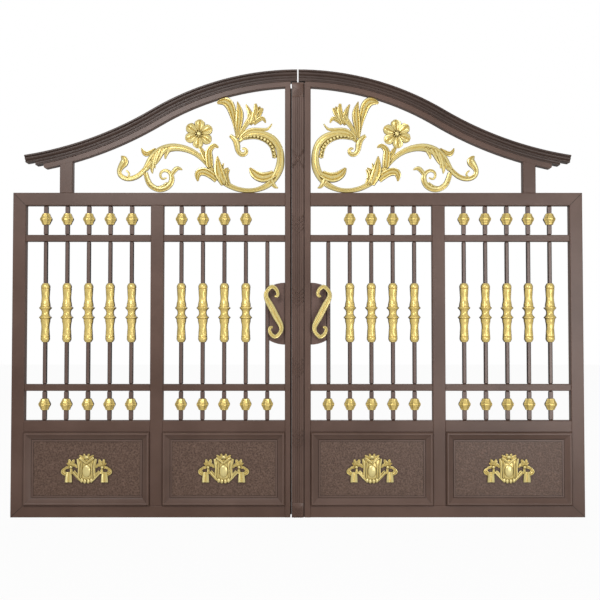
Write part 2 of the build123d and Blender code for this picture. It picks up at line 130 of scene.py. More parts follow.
def paint_side_shade(tree, colour, dark, start, full):
    """Paints shade: a darker colour on what turns away from both faces of the leaf."""
    coordinates = add_node(tree, "TexCoord")
    facing = add_node(tree, "SeparateXYZ", inputs={"Vector": coordinates.outputs["Normal"]})
    outward = add_node(tree, "Math", {"operation": "ABSOLUTE"}, {0: facing.outputs["Y"]})
    turned = add_node(tree, "MapRange", {"interpolation_type": "SMOOTHSTEP"}, {
        "Value": outward.outputs[0], "From Min": start, "From Max": full})
    mixed = add_node(tree, "Mix", {"data_type": "RGBA"}, {
        0: turned.outputs["Result"], 6: colour, 7: srgb(dark)})
    return mixed.outputs[2]


def powder_coat(name, dark, light, roughness, hollow_shade=None, sides=None):
    """The coat in two hex shades, with painted shade in hollows or on side faces where asked."""
    material, tree, output, place = new_material(name)
    cloud = add_node(tree, "TexNoise", inputs={
        "Vector": place, "Scale": per_metre(CLOUD_MM), "Detail": 3.0, "Roughness": 0.6})
    shades = add_node(tree, "ValToRGB", inputs={"Fac": cloud.outputs["Fac"]},
                      stops=((0.35, dark), (0.65, light)))
    colour = shades.outputs["Color"]
    if hollow_shade:
        colour = paint_hollow_shade(tree, colour, hollow_shade, POWDER_HOLLOW_MM)
    if sides:
        colour = paint_side_shade(tree, colour, sides, SIDE_START, SIDE_FULL)
    skin = add_node(tree, "TexNoise", inputs={
        "Vector": place, "Scale": per_metre(PEEL_MM), "Detail": 2.0})
    bump = add_node(tree, "Bump", inputs={
        "Strength": PEEL_STRENGTH, "Distance": PEEL_DEPTH, "Height": skin.outputs["Fac"]})
    shader = add_node(tree, "BsdfPrincipled", inputs={
        "Base Color": colour, "Roughness": roughness, "IOR": 1.5,
        "Normal": bump.outputs["Normal"]})
    tree.links.new(shader.outputs["BSDF"], output.inputs["Surface"])
    return material


brown_coat = powder_coat("brown_powder_coat", "#5D453A", "#6B5247", 0.38)

WELD_REACH_MM = 0.02
EDGE_BEVEL_MM = 0.8
BEVEL_ANGLE = 30


def wear(node_name, material, bevel_mm=0):
    """Gives a carried-over node its material and, where asked, softened edges."""
    obj = nodes[node_name]
    obj.data.materials.clear()
    obj.data.materials.append(material)
    if bevel_mm:
        weld = obj.modifiers.new("weld", "WELD")
        weld.merge_threshold = WELD_REACH_MM * MM
        bevel = obj.modifiers.new("bevel", "BEVEL")
        bevel.width = bevel_mm * MM
        bevel.segments = 2
        bevel.limit_method = "ANGLE"
        bevel.angle_limit = radians(BEVEL_ANGLE)
        bevel.harden_normals = True


for side in SIDES:
    for part in ("outer_stile", "middle_stile", "lock_stile", "top_rail", "bottom_rail",
                 "panel_rails", "lower_bar_rails", "upper_bar_rails", "arch_upright", "arch_rail"):
        wear(f"{side}_{part}", brown_coat, EDGE_BEVEL_MM)


def leaf_matrix(side):
    """Takes leaf millimetres (x from the gate's middle, y to the front, z up) to the frame."""
    mirror = 1 if side == "left" else -1
    return Matrix(((mirror * MM, 0, 0, GATE_MIDDLE), (0, -MM, 0, LEAF_PLANE),
                   (0, 0, MM, LEAF_FOOT), (0, 0, 0, 1)))


def add_object(bm, name, material):
    """Turns a bmesh that is in the frame already into an object of the scene."""
    mesh = bpy.data.meshes.new(name)
    bm.to_mesh(mesh)
    bm.free()
    mesh.materials.append(material)
    obj = bpy.data.objects.new(name, mesh)
    bpy.context.scene.collection.objects.link(obj)
    return obj


def finish_piece(bm, name, side, material, replaced=(), body=None, smooth=True):
    """Turns a bmesh in leaf millimetres into a piece of one leaf."""
    bmesh.ops.transform(bm, matrix=leaf_matrix(side), verts=bm.verts)
    bmesh.ops.recalc_face_normals(bm, faces=bm.faces)
    for face in bm.faces:
        face.smooth = smooth
    obj = add_object(bm, name, material)
    if smooth:
        obj.data.set_sharp_from_angle(angle=radians(SHARP_ANGLE))
    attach(obj, body or f"{side}_leaf")
    if replaced:
        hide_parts(*replaced)


def round_edges(bm, verts, offset, segments):
    """Rounds all the edges at these vertices."""
    edges = list({edge for vert in verts for edge in vert.link_edges})
    bmesh.ops.bevel(bm, geom=edges, offset=offset, segments=segments, profile=0.5,
                    affect="EDGES", material=-1)


def add_block(bm, low, high, bevel=0.0):
    """A box between two corners, with rounded edges where a bevel is given."""
    made = bmesh.ops.create_cube(bm, size=1)["verts"]
    size = [b - a for a, b in zip(low, high)]
    middle = [(a + b) / 2 for a, b in zip(low, high)]
    bmesh.ops.scale(bm, vec=size, verts=made)
    bmesh.ops.translate(bm, vec=middle, verts=made)
    if bevel:
        round_edges(bm, made, bevel, 2)
    return made


# Mitre seams: the fine dark lines of sealant where the outer stile meets the top and bottom
# rails at 45 degrees, on both faces of each leaf. Matt, and a quarter of a millimetre proud.

STILE_WIDTH = 80
TOP_RAIL_HEIGHT = 80
BOTTOM_RAIL_HEIGHT = 74
FRAME_HEIGHT = (LEFT_STILE[1].z - LEAF_FOOT) / MM
LEAF_EDGE = (GATE_MIDDLE - LEFT_STILE[0].x) / MM
SEAM_WIDTH = 3
SEAM_INSET = 3
SEAM_PROUD = 0.25
SEAM_CORNERS = (
    ((-LEAF_EDGE + SEAM_INSET, FRAME_HEIGHT - SEAM_INSET),
     (-LEAF_EDGE + STILE_WIDTH, FRAME_HEIGHT - TOP_RAIL_HEIGHT)),
    ((-LEAF_EDGE + SEAM_INSET, SEAM_INSET), (-LEAF_EDGE + STILE_WIDTH, BOTTOM_RAIL_HEIGHT)),
)
dark_seam = powder_coat("dark_seam_sealant", "#2A1F1B", "#35281F", 0.6)


def add_bar_between(bm, start, end, width, low_y, high_y, bevel=0.0):
    """A straight strip from one (x, z) to another, between two distances from the plane."""
    length = hypot(end[0] - start[0], end[1] - start[1])
    made = add_block(bm, (-length / 2, low_y, -width / 2), (length / 2, high_y, width / 2))
    turn = Matrix.Rotation(-atan2(end[1] - start[1], end[0] - start[0]), 4, "Y")
    bmesh.ops.transform(bm, matrix=turn, verts=made)
    middle = ((start[0] + end[0]) / 2, 0, (start[1] + end[1]) / 2)
    bmesh.ops.translate(bm, vec=middle, verts=made)
    if bevel:
        round_edges(bm, made, bevel, 1)


for side in SIDES:
    bm = bmesh.new()
    for outer, inner in SEAM_CORNERS:
        for face in (-1, 1):
            depths = sorted((face * (FRAME_HALF_DEPTH - 1),
                             face * (FRAME_HALF_DEPTH + SEAM_PROUD)))
            add_bar_between(bm, outer, inner, SEAM_WIDTH, *depths)
    finish_piece(bm, f"{side}_mitre_seams", side, dark_seam, smooth=False)


# Crown: two stepped mouldings cast in aluminium and coated like the frame, bent along one
# S-curve from the tail to the middle of the gate, where the halves meet with a small gap.

CROWN_TOP = (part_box("left_arch_crown")[1].z - LEAF_FOOT) / MM
SHOULDER_RADIUS = 1800
SHOULDER_ANGLE = radians(30.75)
TAIL_RADIUS = 2250
BROW_TIP = 1716
FILLET_BAND_TIP = 1660
CROWN_END = 4
CROWN_STEPS = 32
# The sections are (distance from the leaf's plane, depth below the crown's top).
BROW_PROFILE = (
    (0, 0.6), (27, 0.6), (36, 2), (44, 4.5), (46, 7), (46, 13), (44, 15), (36, 16), (36, 18),
    (40, 20), (42, 24), (41, 30), (37, 35), (33, 38), (31, 41), (31, 43), (38, 44), (40, 45),
    (40, 48), (38, 50), (0, 50),
)
FILLET_PROFILE = (
    (0, 50), (38, 50), (38, 53), (33, 54), (31, 57), (31, 66), (33, 70), (37, 72), (37, 76),
    (0, 76),
)
# The crown's coat is a darker copy of the frame's brown: painted shade.
shaded_crown_coat = powder_coat("shaded_brown_crown_coat", "#46362F", "#503E36", 0.42)


def add_crown_moulding(bm, profile, tip):
    """Sweeps one moulding along both arcs of the crown, by two spins about their centres."""
    centre = Vector((0, 0, CROWN_TOP - SHOULDER_RADIUS))
    reach = SHOULDER_RADIUS + TAIL_RADIUS
    tail_centre = centre + Vector((-reach * sin(SHOULDER_ANGLE), 0, reach * cos(SHOULDER_ANGLE)))
    outline = list(profile) + [(-y, depth) for y, depth in reversed(profile) if y]
    start = asin(CROWN_END / SHOULDER_RADIUS)
    verts = [bm.verts.new((0, y, CROWN_TOP - depth)) for y, depth in outline]
    edges = [bm.edges.new((a, b)) for a, b in zip(verts, verts[1:] + verts[:1])]
    bmesh.ops.rotate(bm, cent=centre, matrix=Matrix.Rotation(-start, 3, "Y"), verts=verts)
    bm.faces.new(verts)
    shoulder = bmesh.ops.spin(bm, geom=verts + edges, cent=centre, axis=(0, 1, 0),
                              angle=-(SHOULDER_ANGLE - start), steps=CROWN_STEPS)["geom_last"]
    slope = asin((-tip - tail_centre.x) / TAIL_RADIUS)
    tail = bmesh.ops.spin(bm, geom=shoulder, cent=tail_centre, axis=(0, 1, 0),
                          angle=SHOULDER_ANGLE - slope, steps=CROWN_STEPS)["geom_last"]
    tail_edges = [item for item in tail if isinstance(item, bmesh.types.BMEdge)]
    bmesh.ops.contextual_create(bm, geom=tail_edges)


for side in SIDES:
    bm = bmesh.new()
    add_crown_moulding(bm, BROW_PROFILE, BROW_TIP)
    add_crown_moulding(bm, FILLET_PROFILE, FILLET_BAND_TIP)
    finish_piece(bm, f"{side}_crown_moulding", side, shaded_crown_coat,
                 (f"{side}_arch_crown",))


# Bars: square aluminium tubes of 26 mm, coated brown, cut to length between the rails.
# Their edges are rounded, as on an extruded tube.

BAR_BEVEL_MM = 7
# The bars' coat is darker on their side faces than on their fronts: painted shade.
bar_coat = powder_coat("brown_bar_coat", "#6B5750", "#786259", 0.32, sides="#241916")
for side in SIDES:
    wear(f"{side}_bars", bar_coat, BAR_BEVEL_MM)

BAY_MIDDLES = (-1313.5, -461.5)
BARS_PER_BAY = 5
BAR_PITCH = 135
BAR_COLUMNS = [middle + (place - BARS_PER_BAY // 2) * BAR_PITCH
               for middle in BAY_MIDDLES for place in range(BARS_PER_BAY)]
# The bar beside the lock plate ends at the upper rail and has a knob only at its foot.
SHORT_BAR = BAR_COLUMNS[-1]


# Gold lacquer brushed on the castings: pale gold with a warm sheen, and painted light and shade:
# lighter on what stands out, umber in the hollows and on the sides turned away from both faces.
GOLD_HOLLOW_MM = 11
BRUSH_MM = 7
BRUSH_SHARE = 0.3
BRUSH_STRENGTH = 0.25
BRUSH_DEPTH = 0.0006
GOLD_ROUGHNESS = 0.3
GOLD_METALLIC = 0.35


def gold_lacquer(name, hollow_shade, middle, light, sides, start, full):
    """Gold in three hex shades by depth and a fourth on faces turned past start to full: painted
    shade.
    """
    material, tree, output, place = new_material(name)
    hollows = add_node(tree, "AmbientOcclusion", {"samples": 8}, {
        "Distance": GOLD_HOLLOW_MM * MM})
    brush = add_node(tree, "TexNoise", inputs={
        "Vector": place, "Scale": per_metre(BRUSH_MM), "Detail": 4.0, "Roughness": 0.65})
    brush_and_shade = add_node(tree, "Math", {"operation": "MULTIPLY_ADD"}, {
        0: brush.outputs["Fac"], 1: BRUSH_SHARE, 2: hollows.outputs["AO"]})
    share = add_node(tree, "Math", {"operation": "DIVIDE"}, {
        0: brush_and_shade.outputs[0], 1: 1 + BRUSH_SHARE})
    shades = add_node(tree, "ValToRGB", inputs={"Fac": share.outputs[0]},
                      stops=((0.42, hollow_shade), (0.68, middle), (0.86, light)))
    colour = paint_side_shade(tree, shades.outputs["Color"], sides, start, full)
    bump = add_node(tree, "Bump", inputs={
        "Strength": BRUSH_STRENGTH, "Distance": BRUSH_DEPTH, "Height": brush.outputs["Fac"]})
    shader = add_node(tree, "BsdfPrincipled", inputs={
        "Base Color": colour, "Metallic": GOLD_METALLIC, "Roughness": GOLD_ROUGHNESS,
        "Normal": bump.outputs["Normal"]})
    tree.links.new(shader.outputs["BSDF"], output.inputs["Surface"])
    return material


pale_gold = gold_lacquer(
    "pale_gold_lacquer", "#6B4F18", "#DCBD60", "#FCEBA2", "#75581F", 0.8, 0.26)
deep_gold = gold_lacquer(
    "deep_gold_lacquer", "#5A3F12", "#DDB24A", "#FFE48C", "#33200E", 0.7, 0.22)


# Knobs: eight-sided cast balls threaded on the bars, ten below and nine above on each leaf.
# Each facet is a raised lozenge, with a collar at each end of the ball. Gold lacquered.

# (radius, height) from the lower collar to the upper one.
KNOB_RINGS = (
    (20, -36), (24, -35), (31, -19), (39.5, -5), (39.5, 5), (31, 19), (24, 35), (20, 36),
)
KNOB_SIDES = 8
COLLAR_RADIUS = 22
FACET_INSET = 1.8
FACET_RISE = 1.1
KNOB_BEVEL = 0.7
TOP_KNOB_LEVEL = 1860
FOOT_KNOB_LEVEL = 699


def spin_rings(bm, rings, steps, turn=0.0):
    """A turned shape about the Z axis through (radius, height) rings, open at both ends."""
    verts = [bm.verts.new((0, radius, height)) for radius, height in rings]
    edges = [bm.edges.new(pair) for pair in zip(verts, verts[1:])]
    before = set(bm.verts) - set(verts)
    bmesh.ops.rotate(bm, cent=(0, 0, 0), matrix=Matrix.Rotation(turn, 3, "Z"), verts=verts)
    bmesh.ops.spin(bm, geom=verts + edges, cent=(0, 0, 0), axis=(0, 0, 1), angle=2 * pi,
                   steps=steps, use_merge=True)
    return [vert for vert in bm.verts if vert not in before]


def stamp(bm, shape, place):
    """Adds a copy of a finished mesh at a place, in leaf millimetres."""
    before = len(bm.verts)
    bm.from_mesh(shape)
    bm.verts.ensure_lookup_table()
    bmesh.ops.translate(bm, vec=place, verts=bm.verts[before:])


def keep_shape(bm, name):
    """A mesh to stamp, outside the scene."""
    mesh = bpy.data.meshes.new(name)
    bm.to_mesh(mesh)
    bm.free()
    return mesh


bm = bmesh.new()
spin_rings(bm, KNOB_RINGS, KNOB_SIDES, pi / KNOB_SIDES)
facets = [face for face in bm.faces if hypot(*face.calc_center_median().xy) > COLLAR_RADIUS]
bmesh.ops.inset_individual(bm, faces=facets, thickness=FACET_INSET, depth=FACET_RISE,
                           use_even_offset=True)
bmesh.ops.bevel(bm, geom=[edge for edge in bm.edges if edge.is_manifold], offset=KNOB_BEVEL,
                segments=1, profile=0.5, affect="EDGES", material=-1)
knob_shape = keep_shape(bm, "knob_shape")

for side in SIDES:
    bm = bmesh.new()
    for column in BAR_COLUMNS:
        stamp(bm, knob_shape, (column, 0, FOOT_KNOB_LEVEL))
        if column != SHORT_BAR:
            stamp(bm, knob_shape, (column, 0, TOP_KNOB_LEVEL))
    finish_piece(bm, f"{side}_faceted_knobs", side, deep_gold, (f"{side}_knobs",))


# Bar sleeves: long turned castings at the middle of each bar, with a sharp ring on each side
# of a narrow neck, a waisted body embossed with leaves and a rounded foot. Gold lacquered.

# (radius, height) from the middle up; the lower half mirrors it.
SLEEVE_RINGS = (
    (24, 0), (24.5, 8), (28, 16), (35, 24), (39, 28), (39.5, 30), (39, 32.5), (36, 35),
    (31.5, 39), (30.5, 45), (29.5, 52), (26.5, 72), (24.8, 96), (25, 112), (26.8, 132),
    (28.6, 145), (29, 149), (26.8, 151.5), (28.4, 154), (29, 159), (28.6, 167), (27, 172),
    (23, 178), (20, 184),
)
SLEEVE_LEVEL = 1271.5
SLEEVE_STEPS = 40
EMBOSSED = (48, 148)
EMBOSS_STEP = 5
EMBOSS_RISE = 1.1
LEAVES_ROUND = 8
LEAF_LENGTH = 34


def sleeve_radius(height):
    """The turned radius at a height, in a straight line from ring to ring."""
    for (low_radius, low), (high_radius, high) in zip(SLEEVE_RINGS, SLEEVE_RINGS[1:]):
        if low <= height <= high:
            return low_radius + (high_radius - low_radius) * (height - low) / (high - low)


bm = bmesh.new()
body_heights = list(range(*EMBOSSED, EMBOSS_STEP))
upper_rings = [ring for ring in SLEEVE_RINGS if not EMBOSSED[0] <= ring[1] <= body_heights[-1]]
upper_rings += [(sleeve_radius(height), height) for height in body_heights]
upper_rings.sort(key=lambda ring: ring[1])
lower_rings = [(radius, -height) for radius, height in reversed(upper_rings[1:])]
spin_rings(bm, lower_rings + upper_rings, SLEEVE_STEPS)
for vert in bm.verts:
    height = abs(vert.co.z)
    if EMBOSSED[0] < height < EMBOSSED[1]:
        turn = atan2(vert.co.y, vert.co.x) + pi / 2
        leaf = cos(LEAVES_ROUND * turn / 2) * cos(pi * (height - EMBOSSED[0]) / LEAF_LENGTH)
        swell = 1 + EMBOSS_RISE * leaf / hypot(vert.co.x, vert.co.y)
        vert.co.x *= swell
        vert.co.y *= swell
sleeve_shape = keep_shape(bm, "sleeve_shape")

for side in SIDES:
    bm = bmesh.new()
    for column in BAR_COLUMNS:
        if column != SHORT_BAR:
            stamp(bm, sleeve_shape, (column, 0, SLEEVE_LEVEL))
    finish_piece(bm, f"{side}_turned_sleeves", side, deep_gold,
                 (f"{side}_bar_sleeves",))


# Panels: pressed aluminium boards with a raised field, whose skin has a worm-track relief
# about 5 mm from ridge to ridge, under a satin brown coat. The mouldings round them are smooth.

WORM_MM = 5
CELLS_MM = 9
WARP_MM = 26
WARP_REACH = 0.016
TRACK_CONTRAST = 2.4
TRACK_STRENGTH = 0.7
TRACK_DEPTH = 0.002
PANEL_HOLLOW_MM = 9


def worm_track_coat(name, dark, light):
    """Winding ridges from warped noise broken up by cells, with painted shade between and painted
    light on top.
    """
    material, tree, output, place = new_material(name)
    warp = add_node(tree, "TexNoise", inputs={
        "Vector": place, "Scale": per_metre(WARP_MM), "Detail": 2.0})
    shift = add_node(tree, "VectorMath", {"operation": "MULTIPLY_ADD"}, {
        0: warp.outputs["Color"], 1: (WARP_REACH,) * 3, 2: place})
    tracks = add_node(tree, "TexVoronoi", {"feature": "SMOOTH_F1"}, {
        "Vector": shift.outputs["Vector"], "Scale": per_metre(CELLS_MM)})
    ridge = add_node(tree, "TexNoise", inputs={
        "Vector": shift.outputs["Vector"], "Scale": per_metre(WORM_MM), "Detail": 2.0,
        "Distortion": 1.5})
    height = add_node(tree, "Math", {"operation": "MULTIPLY"}, {
        0: ridge.outputs["Fac"], 1: tracks.outputs["Distance"]})
    contrast = add_node(tree, "Math", {"operation": "MULTIPLY"}, {
        0: height.outputs[0], 1: TRACK_CONTRAST})
    shades = add_node(tree, "ValToRGB", inputs={"Fac": contrast.outputs[0]},
                      stops=((0.2, dark), (0.9, light)))
    # Painted shade: the panel's colour darkens where it is closed in, as round the crests and
    # mouldings.
    colour = paint_hollow_shade(tree, shades.outputs["Color"], "#2A1D18", PANEL_HOLLOW_MM)
    bump = add_node(tree, "Bump", inputs={
        "Strength": TRACK_STRENGTH, "Distance": TRACK_DEPTH, "Height": height.outputs[0]})
    shader = add_node(tree, "BsdfPrincipled", inputs={
        "Base Color": colour, "Roughness": 0.4, "IOR": 1.5,
        "Normal": bump.outputs["Normal"]})
    tree.links.new(shader.outputs["BSDF"], output.inputs["Surface"])
    return material


worm_tracks = worm_track_coat("worm_track_powder_coat", "#523D32", "#7C6254")
# The mouldings' coat runs to a near-black brown in their corners: painted shade.
moulding_coat = powder_coat(
    "brown_moulding_coat", "#665046", "#735C52", 0.34, hollow_shade="#1F1613")
for side in SIDES:
    wear(f"{side}_panels", worm_tracks)
    wear(f"{side}_panel_mouldings", moulding_coat, EDGE_BEVEL_MM)


# Crests: a gold cast cartouche at the middle of each panel, a shield with an oval boss
# between two ribbon bows, tied to a scalloped foot by garlands. Screwed on from behind.

CREST_LEVEL = 300.5
CREST_BACK = (LEAF_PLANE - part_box("left_crests")[1].y) / MM


def add_dome(bm, centre, radii, turn=0.0, sides=16, rings=9):
    """An egg-shaped boss; radii run across, out and up, turned in the leaf's plane."""
    made = bmesh.ops.create_uvsphere(bm, u_segments=sides, v_segments=rings, radius=1)["verts"]
    bmesh.ops.scale(bm, vec=radii, verts=made)
    bmesh.ops.rotate(bm, cent=(0, 0, 0), matrix=Matrix.Rotation(turn, 3, "Y"), verts=made)
    bmesh.ops.translate(bm, vec=centre, verts=made)


def profile_curve(name, points):
    """A closed section for a ribbon, across and out, as shares of its half width."""
    data = bpy.data.curves.new(name, "CURVE")
    data.dimensions = "2D"
    spline = data.splines.new("POLY")
    spline.points.add(len(points) - 1)
    for point, (across, out) in zip(spline.points, points):
        point.co = (across, out, 0, 1)
    spline.use_cyclic_u = True
    obj = bpy.data.objects.new(name, data)
    bpy.context.scene.collection.objects.link(obj)
    return obj


FLUTED = profile_curve("fluted_section", (
    (-1, 0), (-0.93, 0.42), (-0.66, 0.66), (-0.36, 0.56), (-0.16, 0.34), (0.1, 0.3), (0.3, 0.5),
    (0.62, 0.62), (0.92, 0.4), (1, 0), (0.93, -0.3), (0.5, -0.4), (0, -0.5), (-0.5, -0.4),
    (-0.93, -0.3)))
ROUNDED = profile_curve("rounded_section", (
    (-1, 0), (-0.92, 0.36), (-0.66, 0.62), (-0.28, 0.74), (0.06, 0.62), (0.24, 0.34),
    (0.42, 0.32), (0.62, 0.48), (0.9, 0.38), (1, 0), (0.9, -0.3), (0.6, -0.45), (0.2, -0.5),
    (-0.2, -0.5), (-0.6, -0.45), (-0.9, -0.3)))
VEINED = profile_curve("petal_section", (
    (-1, 0.1), (-0.88, 0.28), (-0.62, 0.2), (-0.48, 0.29), (-0.24, 0.31), (-0.12, 0.22),
    (0, 0.32), (0.12, 0.22), (0.24, 0.31), (0.48, 0.29), (0.62, 0.2), (0.88, 0.28), (1, 0.1),
    (0.6, -0.2), (0, -0.26), (-0.6, -0.2)))
LEAFY = profile_curve("leaf_section", (
    (-1, 0.1), (-0.86, 0.46), (-0.64, 0.48), (-0.4, 0.26), (-0.2, 0.42), (0, 0.54), (0.2, 0.42),
    (0.4, 0.26), (0.64, 0.5), (0.86, 0.46), (1, 0.1), (0.8, -0.2), (0.4, -0.26), (0, -0.3),
    (-0.4, -0.26), (-0.8, -0.2)))
SECTIONS = (FLUTED, ROUNDED, VEINED, LEAFY)


def add_ribbon(bm, stations, section, lift=0.0):
    """A ribbon through (x, z, width) stations, its section scaled by the width as it goes.

    lift is how far its middle stands in front of the leaf's plane.
    """
    data = bpy.data.curves.new("ribbon", "CURVE")
    data.dimensions = "3D"
    data.resolution_u = 4
    data.twist_mode = "Z_UP"
    data.bevel_mode = "OBJECT"
    data.bevel_object = section
    data.use_fill_caps = True
    spline = data.splines.new("NURBS")
    spline.points.add(len(stations) - 1)
    for point, (x, z, width) in zip(spline.points, stations):
        point.co = (x, z, 0, 1)
        point.radius = max(width / 2, 1)
    spline.order_u = 3
    spline.use_endpoint_u = True
    obj = bpy.data.objects.new("ribbon", data)
    bpy.context.scene.collection.objects.link(obj)
    bpy.context.view_layer.update()
    evaluated = obj.evaluated_get(bpy.context.evaluated_depsgraph_get())
    mesh = bpy.data.meshes.new_from_object(evaluated)
    stand = Matrix(((1, 0, 0, 0), (0, 0, 1, lift), (0, 1, 0, 0), (0, 0, 0, 1)))
    mesh.transform(stand)
    bm.from_mesh(mesh)
    bpy.data.meshes.remove(mesh)
    bpy.data.objects.remove(obj)
    bpy.data.curves.remove(data)


# Each ribbon of one half: its (x outwards, z, width) stations, its section and its lift.
CREST_RIBBONS = (
    ([(52, -58, 14), (48, -28, 15), (46, 8, 16), (52, 40, 20), (56, 62, 14)], ROUNDED, 6),
    ([(36, -58, 8), (33, -20, 9), (33, 22, 9), (26, 40, 8)], ROUNDED, 9),
    ([(0, 34, 12), (16, 48, 15), (34, 62, 17), (46, 68, 10)], ROUNDED, 10),
    ([(12, 64, 16), (30, 74, 20), (44, 84, 8)], LEAFY, 8),
    ([(4, 66, 18), (12, 80, 20), (16, 93, 8)], LEAFY, 9),
    ([(97, 10, 12), (90, 30, 22), (82, 45, 26), (78, 58, 8)], LEAFY, 6),
    ([(97, 10, 12), (102, 30, 20), (106, 45, 24), (110, 58, 8)], LEAFY, 5),
    ([(95, 13, 10), (80, 26, 20), (67, 22, 22), (59, 6, 10)], LEAFY, 6),
    ([(98, 12, 10), (112, 24, 16), (122, 36, 8)], LEAFY, 4),
    ([(98, 10, 12), (112, 9, 18), (126, 8, 18), (136, 0, 14)], LEAFY, 5),
    ([(130, 4, 14), (150, -12, 26), (142, -28, 30), (118, -34, 24)], LEAFY, 3),
    ([(96, 6, 12), (94, -14, 17), (96, -30, 24)], FLUTED, 5),
    ([(111, -20, 34), (111, -42, 42), (112, -63, 46), (112, -83, 48)], FLUTED, 1),
    ([(86, -20, 16), (66, -42, 15), (48, -62, 15), (32, -76, 14)], ROUNDED, 6),
    ([(78, -12, 10), (60, -30, 11), (50, -44, 10)], ROUNDED, 5),
)
SHIELD = ((-46, -1, -70), (46, 6, 58))
SHIELD_BEVEL = 4
BOSS_RADII = (27, 10, 38)
BOSS_PLACE = (0, 7, -14)
# The small domes: the bead on top, the knots of the bows and the scallops of the foot.
CREST_DOMES = (
    ((0, 10, 72), (14, 8, 11)),
    ((-97, 11, 10), (10, 7, 9)), ((97, 11, 10), (10, 7, 9)),
    ((-30, 6, -72), (11, 8, 15)), ((-11, 6, -77), (11, 8, 15)),
    ((11, 6, -77), (11, 8, 15)), ((30, 6, -72), (11, 8, 15)),
)


def add_crest(bm, middle):
    """One crest, from its back on the panel outwards."""
    base = Vector((middle, CREST_BACK, CREST_LEVEL))
    add_block(bm, base + Vector(SHIELD[0]), base + Vector(SHIELD[1]), SHIELD_BEVEL)
    add_dome(bm, base + Vector(BOSS_PLACE), BOSS_RADII, sides=28, rings=14)
    for place, radii in CREST_DOMES:
        add_dome(bm, base + Vector(place), radii)
    for flip in (-1, 1):
        for stations, section, lift in CREST_RIBBONS:
            placed = [(middle + flip * x, CREST_LEVEL + z, width) for x, z, width in stations]
            add_ribbon(bm, placed, section, CREST_BACK + lift)


for side in SIDES:
    bm = bmesh.new()
    for middle in BAY_MIDDLES:
        add_crest(bm, middle)
    finish_piece(bm, f"{side}_bow_crests", side, pale_gold, (f"{side}_crests",))


# Scrollwork: one gold casting in each half of the arch. A beaded C-scroll rises from an
# acanthus sheath to a lily and two leaves, and a stem runs out to smaller scrolls and a flower.

